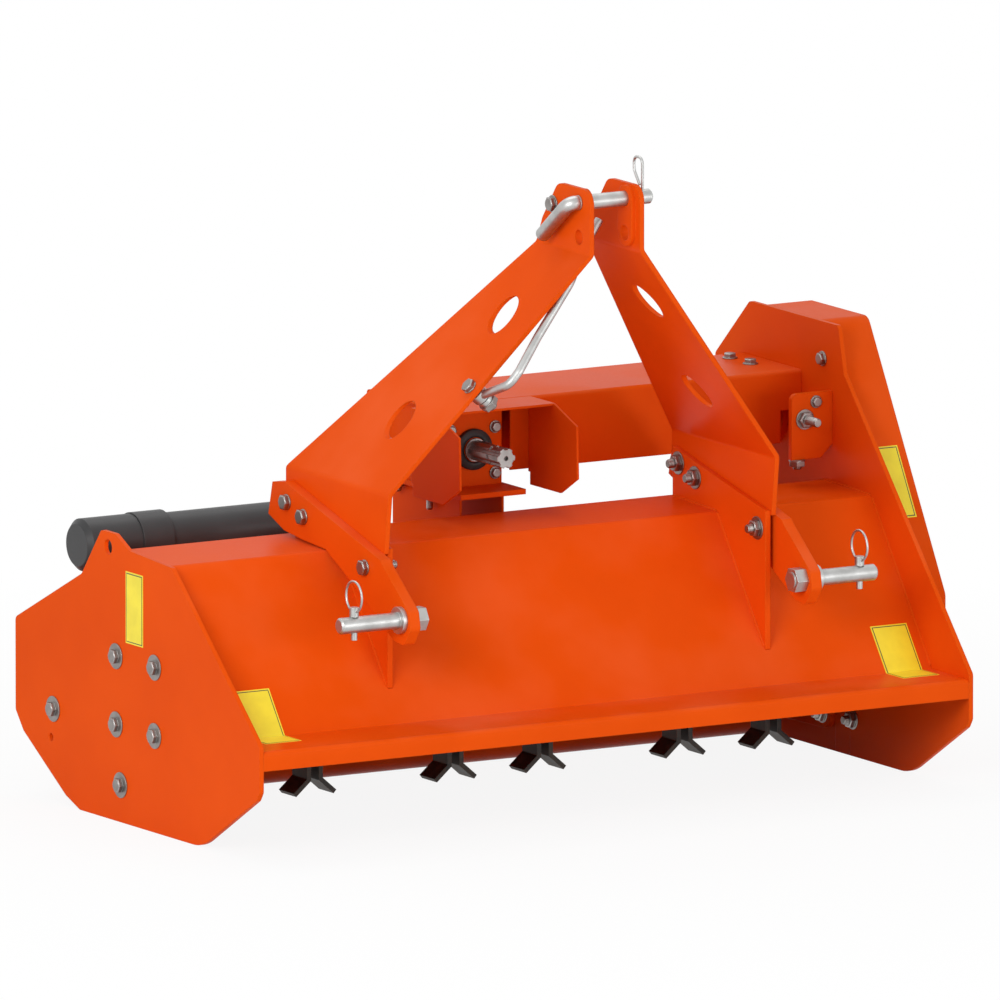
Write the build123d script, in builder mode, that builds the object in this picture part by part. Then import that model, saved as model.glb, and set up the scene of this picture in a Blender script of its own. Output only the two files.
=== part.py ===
"""Flail mulcher for a three-point linkage: parts of the machine as it stands parked.

Millimetres, Z up, the tractor side towards -Y, the belt side towards +X.
The pieces are laid out in a machine frame (X = 0 midway between the side plates, Y = 0 at the
front lip, Z = 0 on the ground) and moved at the end, so that the origin is under the middle of
the whole machine.
"""
import os
from collections import namedtuple
from math import cos, radians, sin

from build123d import *

# Driving sizes
WIDTH = 1384.0  # between the inner faces of the side plates
HALF = WIDTH / 2
PLATE_T = 8.0
DECK_T = 5.0
COVER_T = 4.0
FOLD_R = 5.0  # at the middle of the sheet, in folds of the deck and the cover
HEAD_X = 20.0  # the headstock sits off the deck's middle, towards the belts
GEAR_X = 37.0  # and the gearbox a little further
RUN = 0.3  # radial clearance of pins and shafts in their bores
HANG = 0.15  # radial clearance of loose pins in their cross holes

# Rotor and flails
ROTOR_Y, ROTOR_Z = 417.0, 224.5
TUBE_R, TUBE_WALL = 64.0, 8.0
SHAFT_R = 22.5
BEARING_T, BEARING_FLANGE, BEARING_FLANGE_T, BEARING_NOSE_R = 48.0, 146.0, 18.0, 52.0
ROTOR_END_GAP = 12.0
ROTOR_HALF = HALF - BEARING_T - ROTOR_END_GAP
DISC_T = 12.0
LUG_T, LUG_W, LUG_TOP, LUG_ROOT = 14.0, 46.0, 116.0, 6.0
PIVOT_R, PIVOT_BOLT_R = 98.0, 9.0
BLADE_T, BLADE_W = 8.0, 50.0
BLADE_PLAY = 0.6  # beside the lug
BEND_R, TIP_R, SPREAD = 172.0, 197.0, 29.0  # radius at the bend, at the tip, and reach sideways
FLAIL_PITCH, FLAIL_PAIR = 452.0, 176.0
FLAIL_EDGE = 60.0  # from the end of the tube to the outermost flail
SLOT_W = 48.0  # slot for taking the rotor out, in the right plate

# Rear roller
ROLLER_R, AXLE_R, ROLLER_HUB_R = 60.0, 15.0, 28.0
ROLLER_Y, ROLLER_Z = 670.0, ROLLER_R  # it stands on the ground
ROLLER_WALL, ROLLER_DISC_T = 6.0, 12.0
ARM_T = 10.0
ROLLER_END_GAP = 29.0
ROLLER_HALF = HALF - ARM_T - ROLLER_END_GAP
HUB_GAP, AXLE_GAP = 6.0, 2.0
ARM_PIVOT = (467.0, 64.0)
ARM_BOLT = (695.0, 160.0)
ARM_BOLT_LOW = (703.0, 110.0)
ARM_EDGE = 26.0  # metal round the arm's holes
BOLT_HOLE_R = 7.0

# Linkage
STACK_IN, GUSSET_T, FOOT_T, LUG_PLATE_T = 366.0, 10.0, 8.0, 20.0
FOOT_IN = STACK_IN + GUSSET_T
LUGP_IN = FOOT_IN + FOOT_T
LUGP_OUT = LUGP_IN + LUG_PLATE_T
LOW_PIN_Y, LOW_PIN_Z, LOW_PIN_R = 69.0, 379.0, 14.0
LOW_PIN_SHOULDER, LOW_PIN_END, LOW_COLLAR_R = 412.5, 526.0, 23.0
NUT_R, NUT_H = 22.0, 22.0
LINCH_X, LINCH_R, LINCH_HEAD_R, LINCH_HEAD_H = 496.0, 5.5, 8.0, 16.0
LINCH_BELOW = 26.0
RING_R, RING_WIRE_R = 26.0, 2.0
CLEVIS_X = 49.0  # middle of each clevis plate from the headstock's middle
CLEVIS_TOP_Z = 1086.0
TOP_PIN_BELOW, TOP_PIN_STEP, BEND_BELOW = 25.0, 59.0, 27.0  # top to holes, to lower holes, to bend
TOP_PIN_Y, TOP_PIN_Z, TOP_PIN_R = 76.0, CLEVIS_TOP_Z - TOP_PIN_BELOW, 12.7
TOP_PIN_LOW_Z = TOP_PIN_Z - TOP_PIN_STEP
TOP_PIN_END = 87.0
CLEVIS_PAD, CLEVIS_PAD_W = 8.0, 46.0
UPPER_BEND_Z, LOWER_BEND_Z, FOOT_LOW_Z = TOP_PIN_LOW_Z - BEND_BELOW, 578.0, 476.0
ARM_FOLD_R = 14.0

# Gearbox and drive
PTO_Z = 564.0
CROSS_Y = 657.0
STUB_END_Y, SEAL_Y, BOX_Y = 435.0, 540.0, 548.0
SEAL_R, STUB_SHAFT_R, STUB_IN = 34.0, 20.0, 30.0
SPLINE_R, SPLINE_ROOT_R, SPLINE_W, SPLINE_COUNT = 17.45, 14.6, 8.7, 6
BOX_HALF_X, BOX_BACK_Y = 60.0, 742.0
BOX_LOW_Z = 500.0
FLANGE_T, FLANGE_HALF = 9.0, 64.0
PEDESTAL_HALF, PEDESTAL_T, PEDESTAL_Y = 43.5, 4.0, 517.0
COVER_TOP_Z, COVER_LOW_Z = 644.0, 520.0
COVER_FRONT_Y, COVER_REAR_Y = 554.0, 760.0
COVER_LEFT = 84.0  # from the gearbox middle to the cover's left end
GUARD_HALF = 117.5
HOUSING_R, HOUSING_WALL, HOUSING_FLANGE_R, HOUSING_FLANGE_T = 45.0, 7.0, 62.0, 12.0
BELT_DEPTH = 88.0  # from the right plate to the guard's outer face
SHAFT_PAST_PLATE = 60.0

# Tension bracket on the right plate
BRACKET_W, BRACKET_T, BRACKET_Y = 81.0, 10.0, 452.0
BRACKET_LOW_Z, BRACKET_TOP_Z = 508.0, 622.0

# Manual tube
TUBE_Y, TUBE_Z, TUBE_OUT_R, COLLAR_R, CAP_R = 650.0, 446.0, 41.0, 47.0, 45.0
TUBE_GAP = 12.0  # from the left plate to the cap
CAP_L, COLLAR_L, TUBE_L, TUBE_SKIN, CAP_BEVEL = 106.0, 60.0, 339.0, 4.0, 9.0
CAP_LEFT = -HALF + TUBE_GAP
TUBE_START = CAP_LEFT + CAP_L
SADDLE_W = 30.0

# Outer line of the deck, front lip first, as (Y, Z)
DECK_LINE = [(0, 158), (0, 191), (122, 191), (322, 460), (478, 465), (820, 301), (820, 150)]

# Side plate outlines as (Y, Z); the lower half is the same on both
HEEL = (194, 0)
PLATE_LOW = [(824, 140), (797, 107), (654, 18), (606, 0), HEEL, (10, 107), (0, 122)]
LEFT_TOP = [(0, 200), (295, 462), (440, 470), (486, 492), (532, 492), (599, 407), (824, 299)]
RIGHT_TOP = [(0, 200), (415, 656), (434, 737), (728, 737), (842, 632), (842, 560), (824, 420)]
HEEL_R, CORNER_R = 110.0, 10.0
EAR_HOLE, EAR_HOLE_R = (509.0, 466.0), 13.0
ARM_HOLES = [ARM_BOLT, ARM_BOLT_LOW]

# Belt guard outline as (Y, Z)
GUARD_LINE = [(494, 737), (689, 737), (766, 650), (756, 520), (600, 160), (520, 108), (320, 108),
              (237, 190), (237, 294)]
GUARD_CORNER_R = 22.0

PIECES = {}


def inset(points, t):
    """The parallel line at distance t on the right-hand side of a run of points."""
    out = []
    n = len(points)
    for i in range(n):
        lines = []
        for a, b in ((i - 1, i), (i, i + 1)):
            if a < 0 or b >= n:
                continue
            (ya, za), (yb, zb) = points[a], points[b]
            d = ((yb - ya) ** 2 + (zb - za) ** 2) ** 0.5
            lines.append(((zb - za) / d, -(yb - ya) / d))
        y, z = points[i]
        if len(lines) == 1:
            (ny, nz), k = lines[0], t
        else:
            ny, nz = lines[0][0] + lines[1][0], lines[0][1] + lines[1][1]
            k = t / (lines[0][0] * ny + lines[0][1] * nz)
        out.append((y + ny * k, z + nz * k))
    return out


def deck_z(y):
    """Height of the deck's outer face at depth y."""
    for (y0, z0), (y1, z1) in zip(DECK_LINE[2:], DECK_LINE[3:]):
        if y0 <= y <= y1:
            return z0 + (z1 - z0) * (y - y0) / (y1 - y0)
    return DECK_LINE[-2][1]


def keep(name, builder):
    PIECES[name] = builder.part


def outline(points):
    Polygon(*points, align=(Align.NONE, Align.NONE))


def across(x, y, z):
    """Plane square to X at a point, with local x along Y and local y along Z."""
    return Plane(origin=(x, y, z), x_dir=(0, 1, 0), z_dir=(1, 0, 0))


def along(x, y, z):
    """Plane square to Y at a point, facing the tractor, with local y along Z."""
    return Plane(origin=(x, y, z), x_dir=(1, 0, 0), z_dir=(0, -1, 0))


# Deck: one bent sheet from the front lip over the rotor to the rear edge
with BuildPart() as deck:
    with BuildSketch(across(-HALF, 0, 0)):
        with BuildLine() as middle:
            FilletPolyline(*inset(DECK_LINE, DECK_T / 2), radius=FOLD_R)
        trace(middle.line, line_width=DECK_T)
    extrude(amount=WIDTH)
keep("deck", deck)

# Side plates: the left one low with a lifting ear, the right one tall behind the belts and slotted
# for taking the rotor out
PlateSpec = namedtuple("PlateSpec", "name x top")
PLATES = [PlateSpec("side_plate_left", -HALF - PLATE_T, LEFT_TOP),
          PlateSpec("side_plate_right", HALF, RIGHT_TOP)]
SLOT_TOP_Z = ROTOR_Z - BEARING_FLANGE / 2
for spec in PLATES:
    with BuildPart() as plate:
        with BuildSketch(across(spec.x, 0, 0)) as face:
            outline(PLATE_LOW + spec.top)
            heel = face.vertices().filter_by_position(Axis.X, HEEL[0] - 1, HEEL[0] + 1)
            fillet([v for v in face.vertices() if v not in heel], CORNER_R)
            fillet(face.vertices().filter_by_position(Axis.X, HEEL[0] - 1, HEEL[0] + 1), HEEL_R)
            with Locations(*ARM_HOLES):
                Circle(BOLT_HOLE_R, mode=Mode.SUBTRACT)
            if spec.x < 0:
                with Locations(EAR_HOLE):
                    Circle(EAR_HOLE_R, mode=Mode.SUBTRACT)
            else:
                with Locations((ROTOR_Y, ROTOR_Z)):
                    Circle(SLOT_W / 2, mode=Mode.SUBTRACT)
                with Locations((ROTOR_Y, ROTOR_Z / 2)):
                    Rectangle(SLOT_W, ROTOR_Z, mode=Mode.SUBTRACT)
        extrude(amount=PLATE_T)
    keep(spec.name, plate)

# Strip that closes the rotor slot below the bearing
with BuildPart() as slot_strip:
    with BuildSketch(across(HALF, ROTOR_Y, SLOT_TOP_Z / 2)):
        Rectangle(SLOT_W, SLOT_TOP_Z)
    extrude(amount=PLATE_T)
keep("rotor_slot_strip", slot_strip)

# Belt guard: folded box on the outside of the right plate, open towards the plate
with BuildPart() as belt_guard:
    with BuildSketch(across(HALF + PLATE_T, 0, 0)) as face:
        outline(GUARD_LINE)
        fillet(face.vertices(), GUARD_CORNER_R)
    extrude(amount=BELT_DEPTH)
    with BuildSketch(across(HALF + PLATE_T, 0, 0)) as inner:
        outline(GUARD_LINE)
        fillet(inner.vertices(), GUARD_CORNER_R)
        offset(amount=-COVER_T, mode=Mode.REPLACE)
    extrude(amount=BELT_DEPTH - COVER_T, mode=Mode.SUBTRACT)
keep("belt_guard", belt_guard)

# Linkage feet, one set a side: gusset on the deck, headstock arm, hitch lug outside
HeadSide = namedtuple("HeadSide", "name sign")
SIDES = [HeadSide("left", -1), HeadSide("right", 1)]
GUSSET_LINE = [(162, None), (322, None), (470, None), (470, 550), (162, 484)]
LUG_LINE = [(500, 552), (514, 495), (461, 474), (400, 467), (322, 462), (244, 423), (94, 340),
            (60, 336), (38, 366), (44, 396), (127, 460), (139, 471), (461, 558)]
LUG_NOSE_R = 12.0
ARM_SIDE = [(38, CLEVIS_TOP_Z), (38, UPPER_BEND_Z), (146, LOWER_BEND_Z), (158, FOOT_LOW_Z),
            (478, FOOT_LOW_Z), (489, 500), (489, LOWER_BEND_Z), (217, UPPER_BEND_Z), (196, UPPER_BEND_Z + 45),
            (145, CLEVIS_TOP_Z)]
ARM_CORNER_R = 26.0
PanelHole = namedtuple("PanelHole", "y part_up")  # part of the way from the lower to the upper bend
PANEL_HOLES = [PanelHole(168.0, 0.72), PanelHole(256.0, 0.267)]
PANEL_RISE = UPPER_BEND_Z - LOWER_BEND_Z
PANEL_HOLE_R = 30.0


def span(sign, a, b):
    """Lower X of the band that lies a to b from the headstock's middle on one side."""
    return HEAD_X + (a if sign > 0 else -b)


for side in SIDES:
    with BuildPart() as gusset:
        with BuildSketch(across(span(side.sign, STACK_IN, FOOT_IN), 0, 0)):
            outline([(y, deck_z(y) if z is None else z) for y, z in GUSSET_LINE])
        extrude(amount=GUSSET_T)
    keep("hitch_gusset_" + side.name, gusset)

    with BuildPart() as lug:
        with BuildSketch(across(span(side.sign, LUGP_IN, LUGP_OUT), 0, 0)) as face:
            outline(LUG_LINE)
            fillet(face.vertices().filter_by_position(Axis.X, 0, 130), LUG_NOSE_R)
            with Locations((LOW_PIN_Y, LOW_PIN_Z)):
                Circle(LOW_PIN_R + RUN, mode=Mode.SUBTRACT)
        extrude(amount=LUG_PLATE_T)
    keep("hitch_lug_" + side.name, lug)

    with BuildPart() as arm:
        foot_x = FOOT_IN + FOOT_T / 2
        bends = [(CLEVIS_X, CLEVIS_TOP_Z), (CLEVIS_X, UPPER_BEND_Z), (foot_x, LOWER_BEND_Z),
                 (foot_x, FOOT_LOW_Z)]
        with BuildSketch(Plane(origin=(HEAD_X, 0, 0), x_dir=(1, 0, 0), z_dir=(0, -1, 0))):
            with BuildLine() as middle:
                FilletPolyline(*[(side.sign * x, z) for x, z in bends], radius=ARM_FOLD_R)
            trace(middle.line, line_width=FOOT_T)
        extrude(amount=-(ARM_SIDE[5][0] + 50))
        with BuildSketch(across(HEAD_X - LUGP_OUT, 0, 0)) as face:
            outline(ARM_SIDE)
            fillet(face.vertices().filter_by_position(Axis.Y, CLEVIS_TOP_Z - 40, CLEVIS_TOP_Z + 1),
                   ARM_CORNER_R)
        extrude(amount=2 * LUGP_OUT, mode=Mode.INTERSECT)
        pad_out = CLEVIS_X - FOOT_T / 2
        with BuildSketch(across(span(side.sign, pad_out - CLEVIS_PAD, pad_out), 0, 0)):
            with Locations((TOP_PIN_Y, (TOP_PIN_Z + TOP_PIN_LOW_Z) / 2)):
                SlotCenterToCenter(TOP_PIN_Z - TOP_PIN_LOW_Z, CLEVIS_PAD_W, rotation=90)
        extrude(amount=CLEVIS_PAD)
        with BuildSketch(across(HEAD_X, 0, 0)):
            with Locations((TOP_PIN_Y, TOP_PIN_Z), (TOP_PIN_Y, TOP_PIN_LOW_Z)):
                Circle(TOP_PIN_R + RUN)
            with Locations(*[(hole.y, LOWER_BEND_Z + hole.part_up * PANEL_RISE) for hole in PANEL_HOLES]):
                Circle(PANEL_HOLE_R)
        extrude(amount=side.sign * LUGP_OUT, mode=Mode.SUBTRACT)
    keep("headstock_arm_" + side.name, arm)

    with BuildPart() as low_pin:
        pin_start = LUGP_IN - NUT_H - 2
        with BuildSketch(across(HEAD_X + side.sign * pin_start, LOW_PIN_Y, LOW_PIN_Z)):
            Circle(LOW_PIN_R)
        extrude(amount=side.sign * (LOW_PIN_END - pin_start))
        chamfer(low_pin.faces().sort_by(Axis.X)[-1 if side.sign > 0 else 0].edges(), 3)
        with BuildSketch(across(HEAD_X + side.sign * LUGP_OUT, LOW_PIN_Y, LOW_PIN_Z)):
            Circle(LOW_COLLAR_R)
        extrude(amount=side.sign * (LOW_PIN_SHOULDER - LUGP_OUT))
        with BuildSketch(across(HEAD_X + side.sign * LUGP_IN, LOW_PIN_Y, LOW_PIN_Z)):
            RegularPolygon(NUT_R, 6, major_radius=True)
        extrude(amount=-side.sign * NUT_H)
        with Locations((HEAD_X + side.sign * LINCH_X, LOW_PIN_Y, LOW_PIN_Z)):
            Cylinder(LINCH_R + HANG, 4 * LOW_PIN_R, mode=Mode.SUBTRACT)
    keep("lower_pin_" + side.name, low_pin)

    with BuildPart() as linch:
        linch_x = HEAD_X + side.sign * LINCH_X
        head_z = LOW_PIN_Z + LOW_PIN_R
        with BuildSketch(Plane.XY.offset(LOW_PIN_Z - LINCH_BELOW)):
            with Locations((linch_x, LOW_PIN_Y)):
                Circle(LINCH_R)
        extrude(amount=LINCH_BELOW + LOW_PIN_R + LINCH_HEAD_H / 2)
        with BuildSketch(Plane.XY.offset(head_z)):
            with Locations((linch_x, LOW_PIN_Y)):
                Circle(LINCH_HEAD_R)
        extrude(amount=LINCH_HEAD_H)
        ring_at = Location((linch_x, LOW_PIN_Y, head_z + LINCH_HEAD_H / 2 + RING_R), (0, 90, 0))
        with Locations(ring_at):
            Torus(RING_R, RING_WIRE_R)
    keep("linch_pin_" + side.name, linch)

# Top link pin with a bent handle, and the spring clip through its end
PIN_LEFT = -CLEVIS_X - FOOT_T / 2
CLIP_X, CLIP_R = 72.0, 2.5
PIN_PAST = 4.0  # outside the left clevis plate
HANDLE_R, HANDLE_OUT, HANDLE_BACK, HANDLE_DOWN = 9.0, 19.0, 88.0, 66.0
with BuildPart() as top_pin:
    with BuildSketch(across(HEAD_X + PIN_LEFT - PIN_PAST, TOP_PIN_Y, TOP_PIN_Z)):
        Circle(TOP_PIN_R)
    extrude(amount=TOP_PIN_END - PIN_LEFT + PIN_PAST)
    chamfer(top_pin.faces().sort_by(Axis.X)[-1].edges(), 3)
    chamfer(top_pin.faces().sort_by(Axis.X)[0].edges(), 2)
    start = Vector(HEAD_X + PIN_LEFT, TOP_PIN_Y, TOP_PIN_Z)
    turn = Vector(HEAD_X + PIN_LEFT - HANDLE_OUT, TOP_PIN_Y, TOP_PIN_Z)
    with BuildLine() as handle:
        FilletPolyline(start, turn, turn + Vector(0, HANDLE_BACK, -HANDLE_DOWN), radius=HANDLE_R + 3)
    with BuildSketch(across(*start)):
        Circle(HANDLE_R)
    sweep(path=handle.line)
    with Locations((HEAD_X + CLIP_X, TOP_PIN_Y, TOP_PIN_Z)):
        Cylinder(CLIP_R + HANG, 4 * TOP_PIN_R, mode=Mode.SUBTRACT)
keep("top_link_pin", top_pin)

CLIP_LINE = [(0, -34), (0, 66), (28, 66), (27, 42), (9, 19)]  # from the pin's axis
with BuildPart() as clip:
    clip_at = Vector(HEAD_X + CLIP_X, TOP_PIN_Y, TOP_PIN_Z)
    with BuildLine() as wire:
        FilletPolyline(*[clip_at + Vector(0, y, z) for y, z in CLIP_LINE], radius=11)
    with BuildSketch(Plane(origin=wire.line @ 0, z_dir=(0, 0, 1))):
        Circle(CLIP_R)
    sweep(path=wire.line)
keep("top_link_clip", clip)

# Driveshaft rest: a bent rod that turns on a stud on the left headstock arm
panel_dx, panel_dz = FOOT_IN + FOOT_T / 2 - CLEVIS_X, PANEL_RISE
panel_len = (panel_dx**2 + panel_dz**2) ** 0.5
UP = Vector(panel_dx / panel_len, 0, panel_dz / panel_len)  # up the left panel
IN = Vector(panel_dz / panel_len, 0, -panel_dx / panel_len)  # out of its inner face
AHEAD = Vector(0, -1, 0)
REST_Y, REST_PART_UP = 121.0, 0.43829
REST_Z = LOWER_BEND_Z + REST_PART_UP * PANEL_RISE
REST_GAP, EYE_T, EYE_R, STUD_R, ROD_R = 5.5, 16.0, 16.0, 8.0, 7.5
STUD_HEAD_R, STUD_HEAD_T, STUD_PLAY = 14.0, 8.0, 3.0
ROD_REACH = 0.7042 * panel_len  # how far up the panel the rod's end lies
RodPoint = namedtuple("RodPoint", "part_up ahead")  # part of the reach, and forwards of the stud
ROD_LINE = [RodPoint(0.0055, 12.0), RodPoint(0.0879, 66.0), RodPoint(0.1648, 68.0), RodPoint(0.3571, 54.0),
            RodPoint(0.6593, 42.0), RodPoint(0.8516, 12.0), RodPoint(1.0, 4.0)]
ROD_BENDS = [22.0, 20.0, 60.0, 50.0, 40.0]
panel_x = HEAD_X - (CLEVIS_X + (UPPER_BEND_Z - REST_Z) * panel_dx / panel_dz)
rest_face = Vector(panel_x, REST_Y, REST_Z) + IN * (FOOT_T / 2)
rest_mid = rest_face + IN * (REST_GAP + EYE_T / 2)
with BuildPart() as rest_stud:
    stud_l = REST_GAP + EYE_T + STUD_PLAY
    with BuildSketch(Plane(origin=rest_face, x_dir=(0, 1, 0), z_dir=IN)):
        Circle(STUD_R)
    extrude(amount=stud_l)
    with BuildSketch(Plane(origin=rest_face + IN * stud_l, x_dir=(0, 1, 0), z_dir=IN)):
        Circle(STUD_HEAD_R)
    extrude(amount=STUD_HEAD_T)
keep("rest_stud", rest_stud)

with BuildPart() as rest:
    with BuildSketch(Plane(origin=rest_face + IN * REST_GAP, x_dir=(0, 1, 0), z_dir=IN)):
        Circle(EYE_R)
    extrude(amount=EYE_T)
    with BuildLine() as rod:
        FilletPolyline(*[rest_mid + UP * p.part_up * ROD_REACH + AHEAD * p.ahead for p in ROD_LINE],
                       radius=ROD_BENDS)
    with BuildSketch(Plane(origin=rod.line @ 0, z_dir=rod.line % 0)):
        Circle(ROD_R)
    sweep(path=rod.line)
    with BuildSketch(Plane(origin=rest_face, x_dir=(0, 1, 0), z_dir=IN)):
        Circle(STUD_R + RUN)
    extrude(amount=REST_GAP + EYE_T + 1, mode=Mode.SUBTRACT)
keep("driveshaft_rest", rest)

# Gearbox on its pedestal, a channel on the rear slope, with the splined input stub
with BuildPart() as pedestal:
    top_z = BOX_LOW_Z - FLANGE_T
    foot = [(PEDESTAL_Y, deck_z(PEDESTAL_Y)), (BOX_BACK_Y, deck_z(BOX_BACK_Y)), (BOX_BACK_Y, top_z),
            (PEDESTAL_Y, top_z)]
    for x in (-PEDESTAL_HALF, PEDESTAL_HALF - PEDESTAL_T):
        with BuildSketch(across(GEAR_X + x, 0, 0)):
            outline(foot)
        extrude(amount=PEDESTAL_T)
    with BuildSketch(Plane.XY.offset(top_z)):
        with Locations((GEAR_X, (DECK_LINE[4][0] + BOX_BACK_Y) / 2)):
            Rectangle(2 * FLANGE_HALF, BOX_BACK_Y - DECK_LINE[4][0])
    extrude(amount=FLANGE_T)
keep("gearbox_pedestal", pedestal)

BOX_CORNER_R, BOX_CLEAR = 6.0, 2.0
with BuildPart() as gearbox:
    with BuildSketch(Plane.XY.offset(BOX_LOW_Z)):
        with Locations((GEAR_X, (BOX_Y + BOX_BACK_Y) / 2)):
            RectangleRounded(2 * BOX_HALF_X, BOX_BACK_Y - BOX_Y, BOX_CORNER_R)
    extrude(amount=COVER_TOP_Z - COVER_T - FOLD_R - BOX_CLEAR - BOX_LOW_Z)
    with BuildSketch(along(GEAR_X, BOX_Y, PTO_Z)):
        Circle(SEAL_R)
    extrude(amount=BOX_Y - SEAL_Y)
    with BuildSketch(along(GEAR_X, BOX_Y + STUB_IN + 2, PTO_Z)):
        Circle(STUB_SHAFT_R + RUN)
    extrude(amount=STUB_IN + 2 + BOX_Y - SEAL_Y + 1, mode=Mode.SUBTRACT)
keep("gearbox", gearbox)

GROOVE_FROM_END, GROOVE_W, CENTRE_R, CENTRE_DEEP, STUB_NECK = 38.0, 7.0, 4.0, 8.0, 4.0
with BuildPart() as stub:
    with BuildSketch(along(GEAR_X, BOX_Y + STUB_IN, PTO_Z)):
        Circle(STUB_SHAFT_R)
    extrude(amount=STUB_IN + BOX_Y - SEAL_Y + STUB_NECK)
    with BuildSketch(along(GEAR_X, SEAL_Y, PTO_Z)):
        Circle(SPLINE_ROOT_R)
        with PolarLocations((SPLINE_R + SPLINE_ROOT_R) / 2 - 1, SPLINE_COUNT):
            Rectangle(SPLINE_R - SPLINE_ROOT_R + 2, SPLINE_W)
        with Locations((0, 0)):
            Circle(SPLINE_R, mode=Mode.INTERSECT)
    extrude(amount=SEAL_Y - STUB_END_Y)
    with BuildSketch(along(GEAR_X, STUB_END_Y + GROOVE_FROM_END, PTO_Z)):
        Circle(SPLINE_R + 1)
        Circle(SPLINE_ROOT_R + 0.2, mode=Mode.SUBTRACT)
    extrude(amount=GROOVE_W, mode=Mode.SUBTRACT)
    with BuildSketch(along(GEAR_X, STUB_END_Y + CENTRE_DEEP, PTO_Z)):
        Circle(CENTRE_R)
    extrude(amount=CENTRE_DEEP + 1, mode=Mode.SUBTRACT)
keep("pto_stub", stub)

# Tube housing of the cross shaft, and the sheet cover over it
with BuildPart() as drive_tube:
    housing_x = GEAR_X + BOX_HALF_X
    with BuildSketch(across(housing_x, CROSS_Y, PTO_Z)):
        Circle(HOUSING_R)
        Circle(HOUSING_R - HOUSING_WALL, mode=Mode.SUBTRACT)
    extrude(amount=HALF - housing_x)
    for x in (housing_x, HALF - HOUSING_FLANGE_T):
        with BuildSketch(across(x, CROSS_Y, PTO_Z)):
            Circle(HOUSING_FLANGE_R)
            Circle(HOUSING_R - HOUSING_WALL, mode=Mode.SUBTRACT)
        extrude(amount=HOUSING_FLANGE_T)
keep("drive_tube", drive_tube)

NOTCH_W, NOTCH_H, NOTCH_IN = 36.0, 56.0, 6.0
DRIVE_OPENING = 78.0  # half width, in front of the gearbox
with BuildPart() as drive_cover:
    cover = [(COVER_FRONT_Y, COVER_LOW_Z), (COVER_FRONT_Y, COVER_TOP_Z), (COVER_REAR_Y, COVER_TOP_Z),
             (COVER_REAR_Y, COVER_LOW_Z)]
    cover_x = GEAR_X - COVER_LEFT
    with BuildSketch(across(cover_x, 0, 0)):
        with BuildLine() as middle:
            FilletPolyline(*inset(cover, COVER_T / 2), radius=FOLD_R)
        trace(middle.line, line_width=COVER_T)
    extrude(amount=HALF - cover_x)
    with BuildSketch(along(0, COVER_FRONT_Y + COVER_T + 1, 0)):
        with Locations((GEAR_X, (COVER_LOW_Z + COVER_TOP_Z) / 2 - FOLD_R)):
            Rectangle(2 * DRIVE_OPENING, COVER_TOP_Z - COVER_LOW_Z)
        with Locations((HALF - NOTCH_IN - NOTCH_W / 2, COVER_LOW_Z)):
            Rectangle(NOTCH_W, 2 * NOTCH_H)
    extrude(amount=COVER_T + 2, mode=Mode.SUBTRACT)
keep("drive_cover", drive_cover)

# Guard wings beside the stub, joined by a top sheet that runs on from the cover
TOP_SHEET_Y = 471.0
WING_LINE = [(COVER_FRONT_Y, COVER_TOP_Z), (TOP_SHEET_Y, COVER_TOP_Z), (394, 615), (391, 525),
             (447, 493), (548, 493), (548, 515), (COVER_FRONT_Y, 515)]
with BuildPart() as pto_guard:
    for x in (-GUARD_HALF, GUARD_HALF - COVER_T):
        with BuildSketch(across(GEAR_X + x, 0, 0)):
            outline(WING_LINE)
        extrude(amount=COVER_T)
    with BuildSketch(Plane.XY.offset(COVER_TOP_Z - COVER_T)):
        with Locations((GEAR_X, (COVER_FRONT_Y + TOP_SHEET_Y) / 2)):
            Rectangle(2 * GUARD_HALF, COVER_FRONT_Y - TOP_SHEET_Y)
    extrude(amount=COVER_T)
keep("pto_guard", pto_guard)

# Belt tension bracket: an angle on the inner face of the right plate
BRACKET_ROUND, BRACKET_CUT = 12.0, 23.0
with BuildPart() as tension_bracket:
    left = HALF - BRACKET_W
    with BuildSketch(along(0, BRACKET_Y + BRACKET_T, 0)) as face:
        outline([(left, BRACKET_LOW_Z), (HALF - BRACKET_CUT, BRACKET_LOW_Z),
                 (HALF, BRACKET_LOW_Z + BRACKET_CUT), (HALF, BRACKET_TOP_Z), (left, BRACKET_TOP_Z)])
        corner = face.vertices().filter_by_position(Axis.X, left - 1, left + 1)
        fillet(corner.sort_by(Axis.Y)[-1:], BRACKET_ROUND)
    extrude(amount=BRACKET_T)
    with BuildSketch(across(HALF - BRACKET_T, 0, 0)):
        outline([(BRACKET_Y, BRACKET_LOW_Z + BRACKET_CUT), (COVER_FRONT_Y, BRACKET_LOW_Z + BRACKET_CUT),
                 (COVER_FRONT_Y, BRACKET_TOP_Z - BRACKET_CUT), (BRACKET_Y, BRACKET_TOP_Z)])
    extrude(amount=BRACKET_T)
keep("tension_bracket", tension_bracket)

# Rotor: tube with end discs, stub shafts and flail lugs in four rows round it
FlailRow = namedtuple("FlailRow", "angle first")
ROWS = [FlailRow(0, -540.0), FlailRow(90, -427.0), FlailRow(180, -314.0), FlailRow(270, -201.0)]
REACH = ROTOR_HALF - FLAIL_EDGE


def places(row):
    """Flail positions of a row: pairs at a fixed pitch, as many as the tube has room for."""
    out = []
    for step in range(-4, 5):
        for x in (row.first + step * FLAIL_PITCH, row.first + step * FLAIL_PITCH + FLAIL_PAIR):
            if abs(x) <= REACH:
                out.append(x)
    return out


def radial(x, angle):
    """Plane through the rotor axis at x: local x along the axis, local y outwards; 0 points down."""
    a = radians(angle)
    return Plane(origin=(x, ROTOR_Y, ROTOR_Z), x_dir=(1, 0, 0), z_dir=(0, cos(a), sin(a)))


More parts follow.
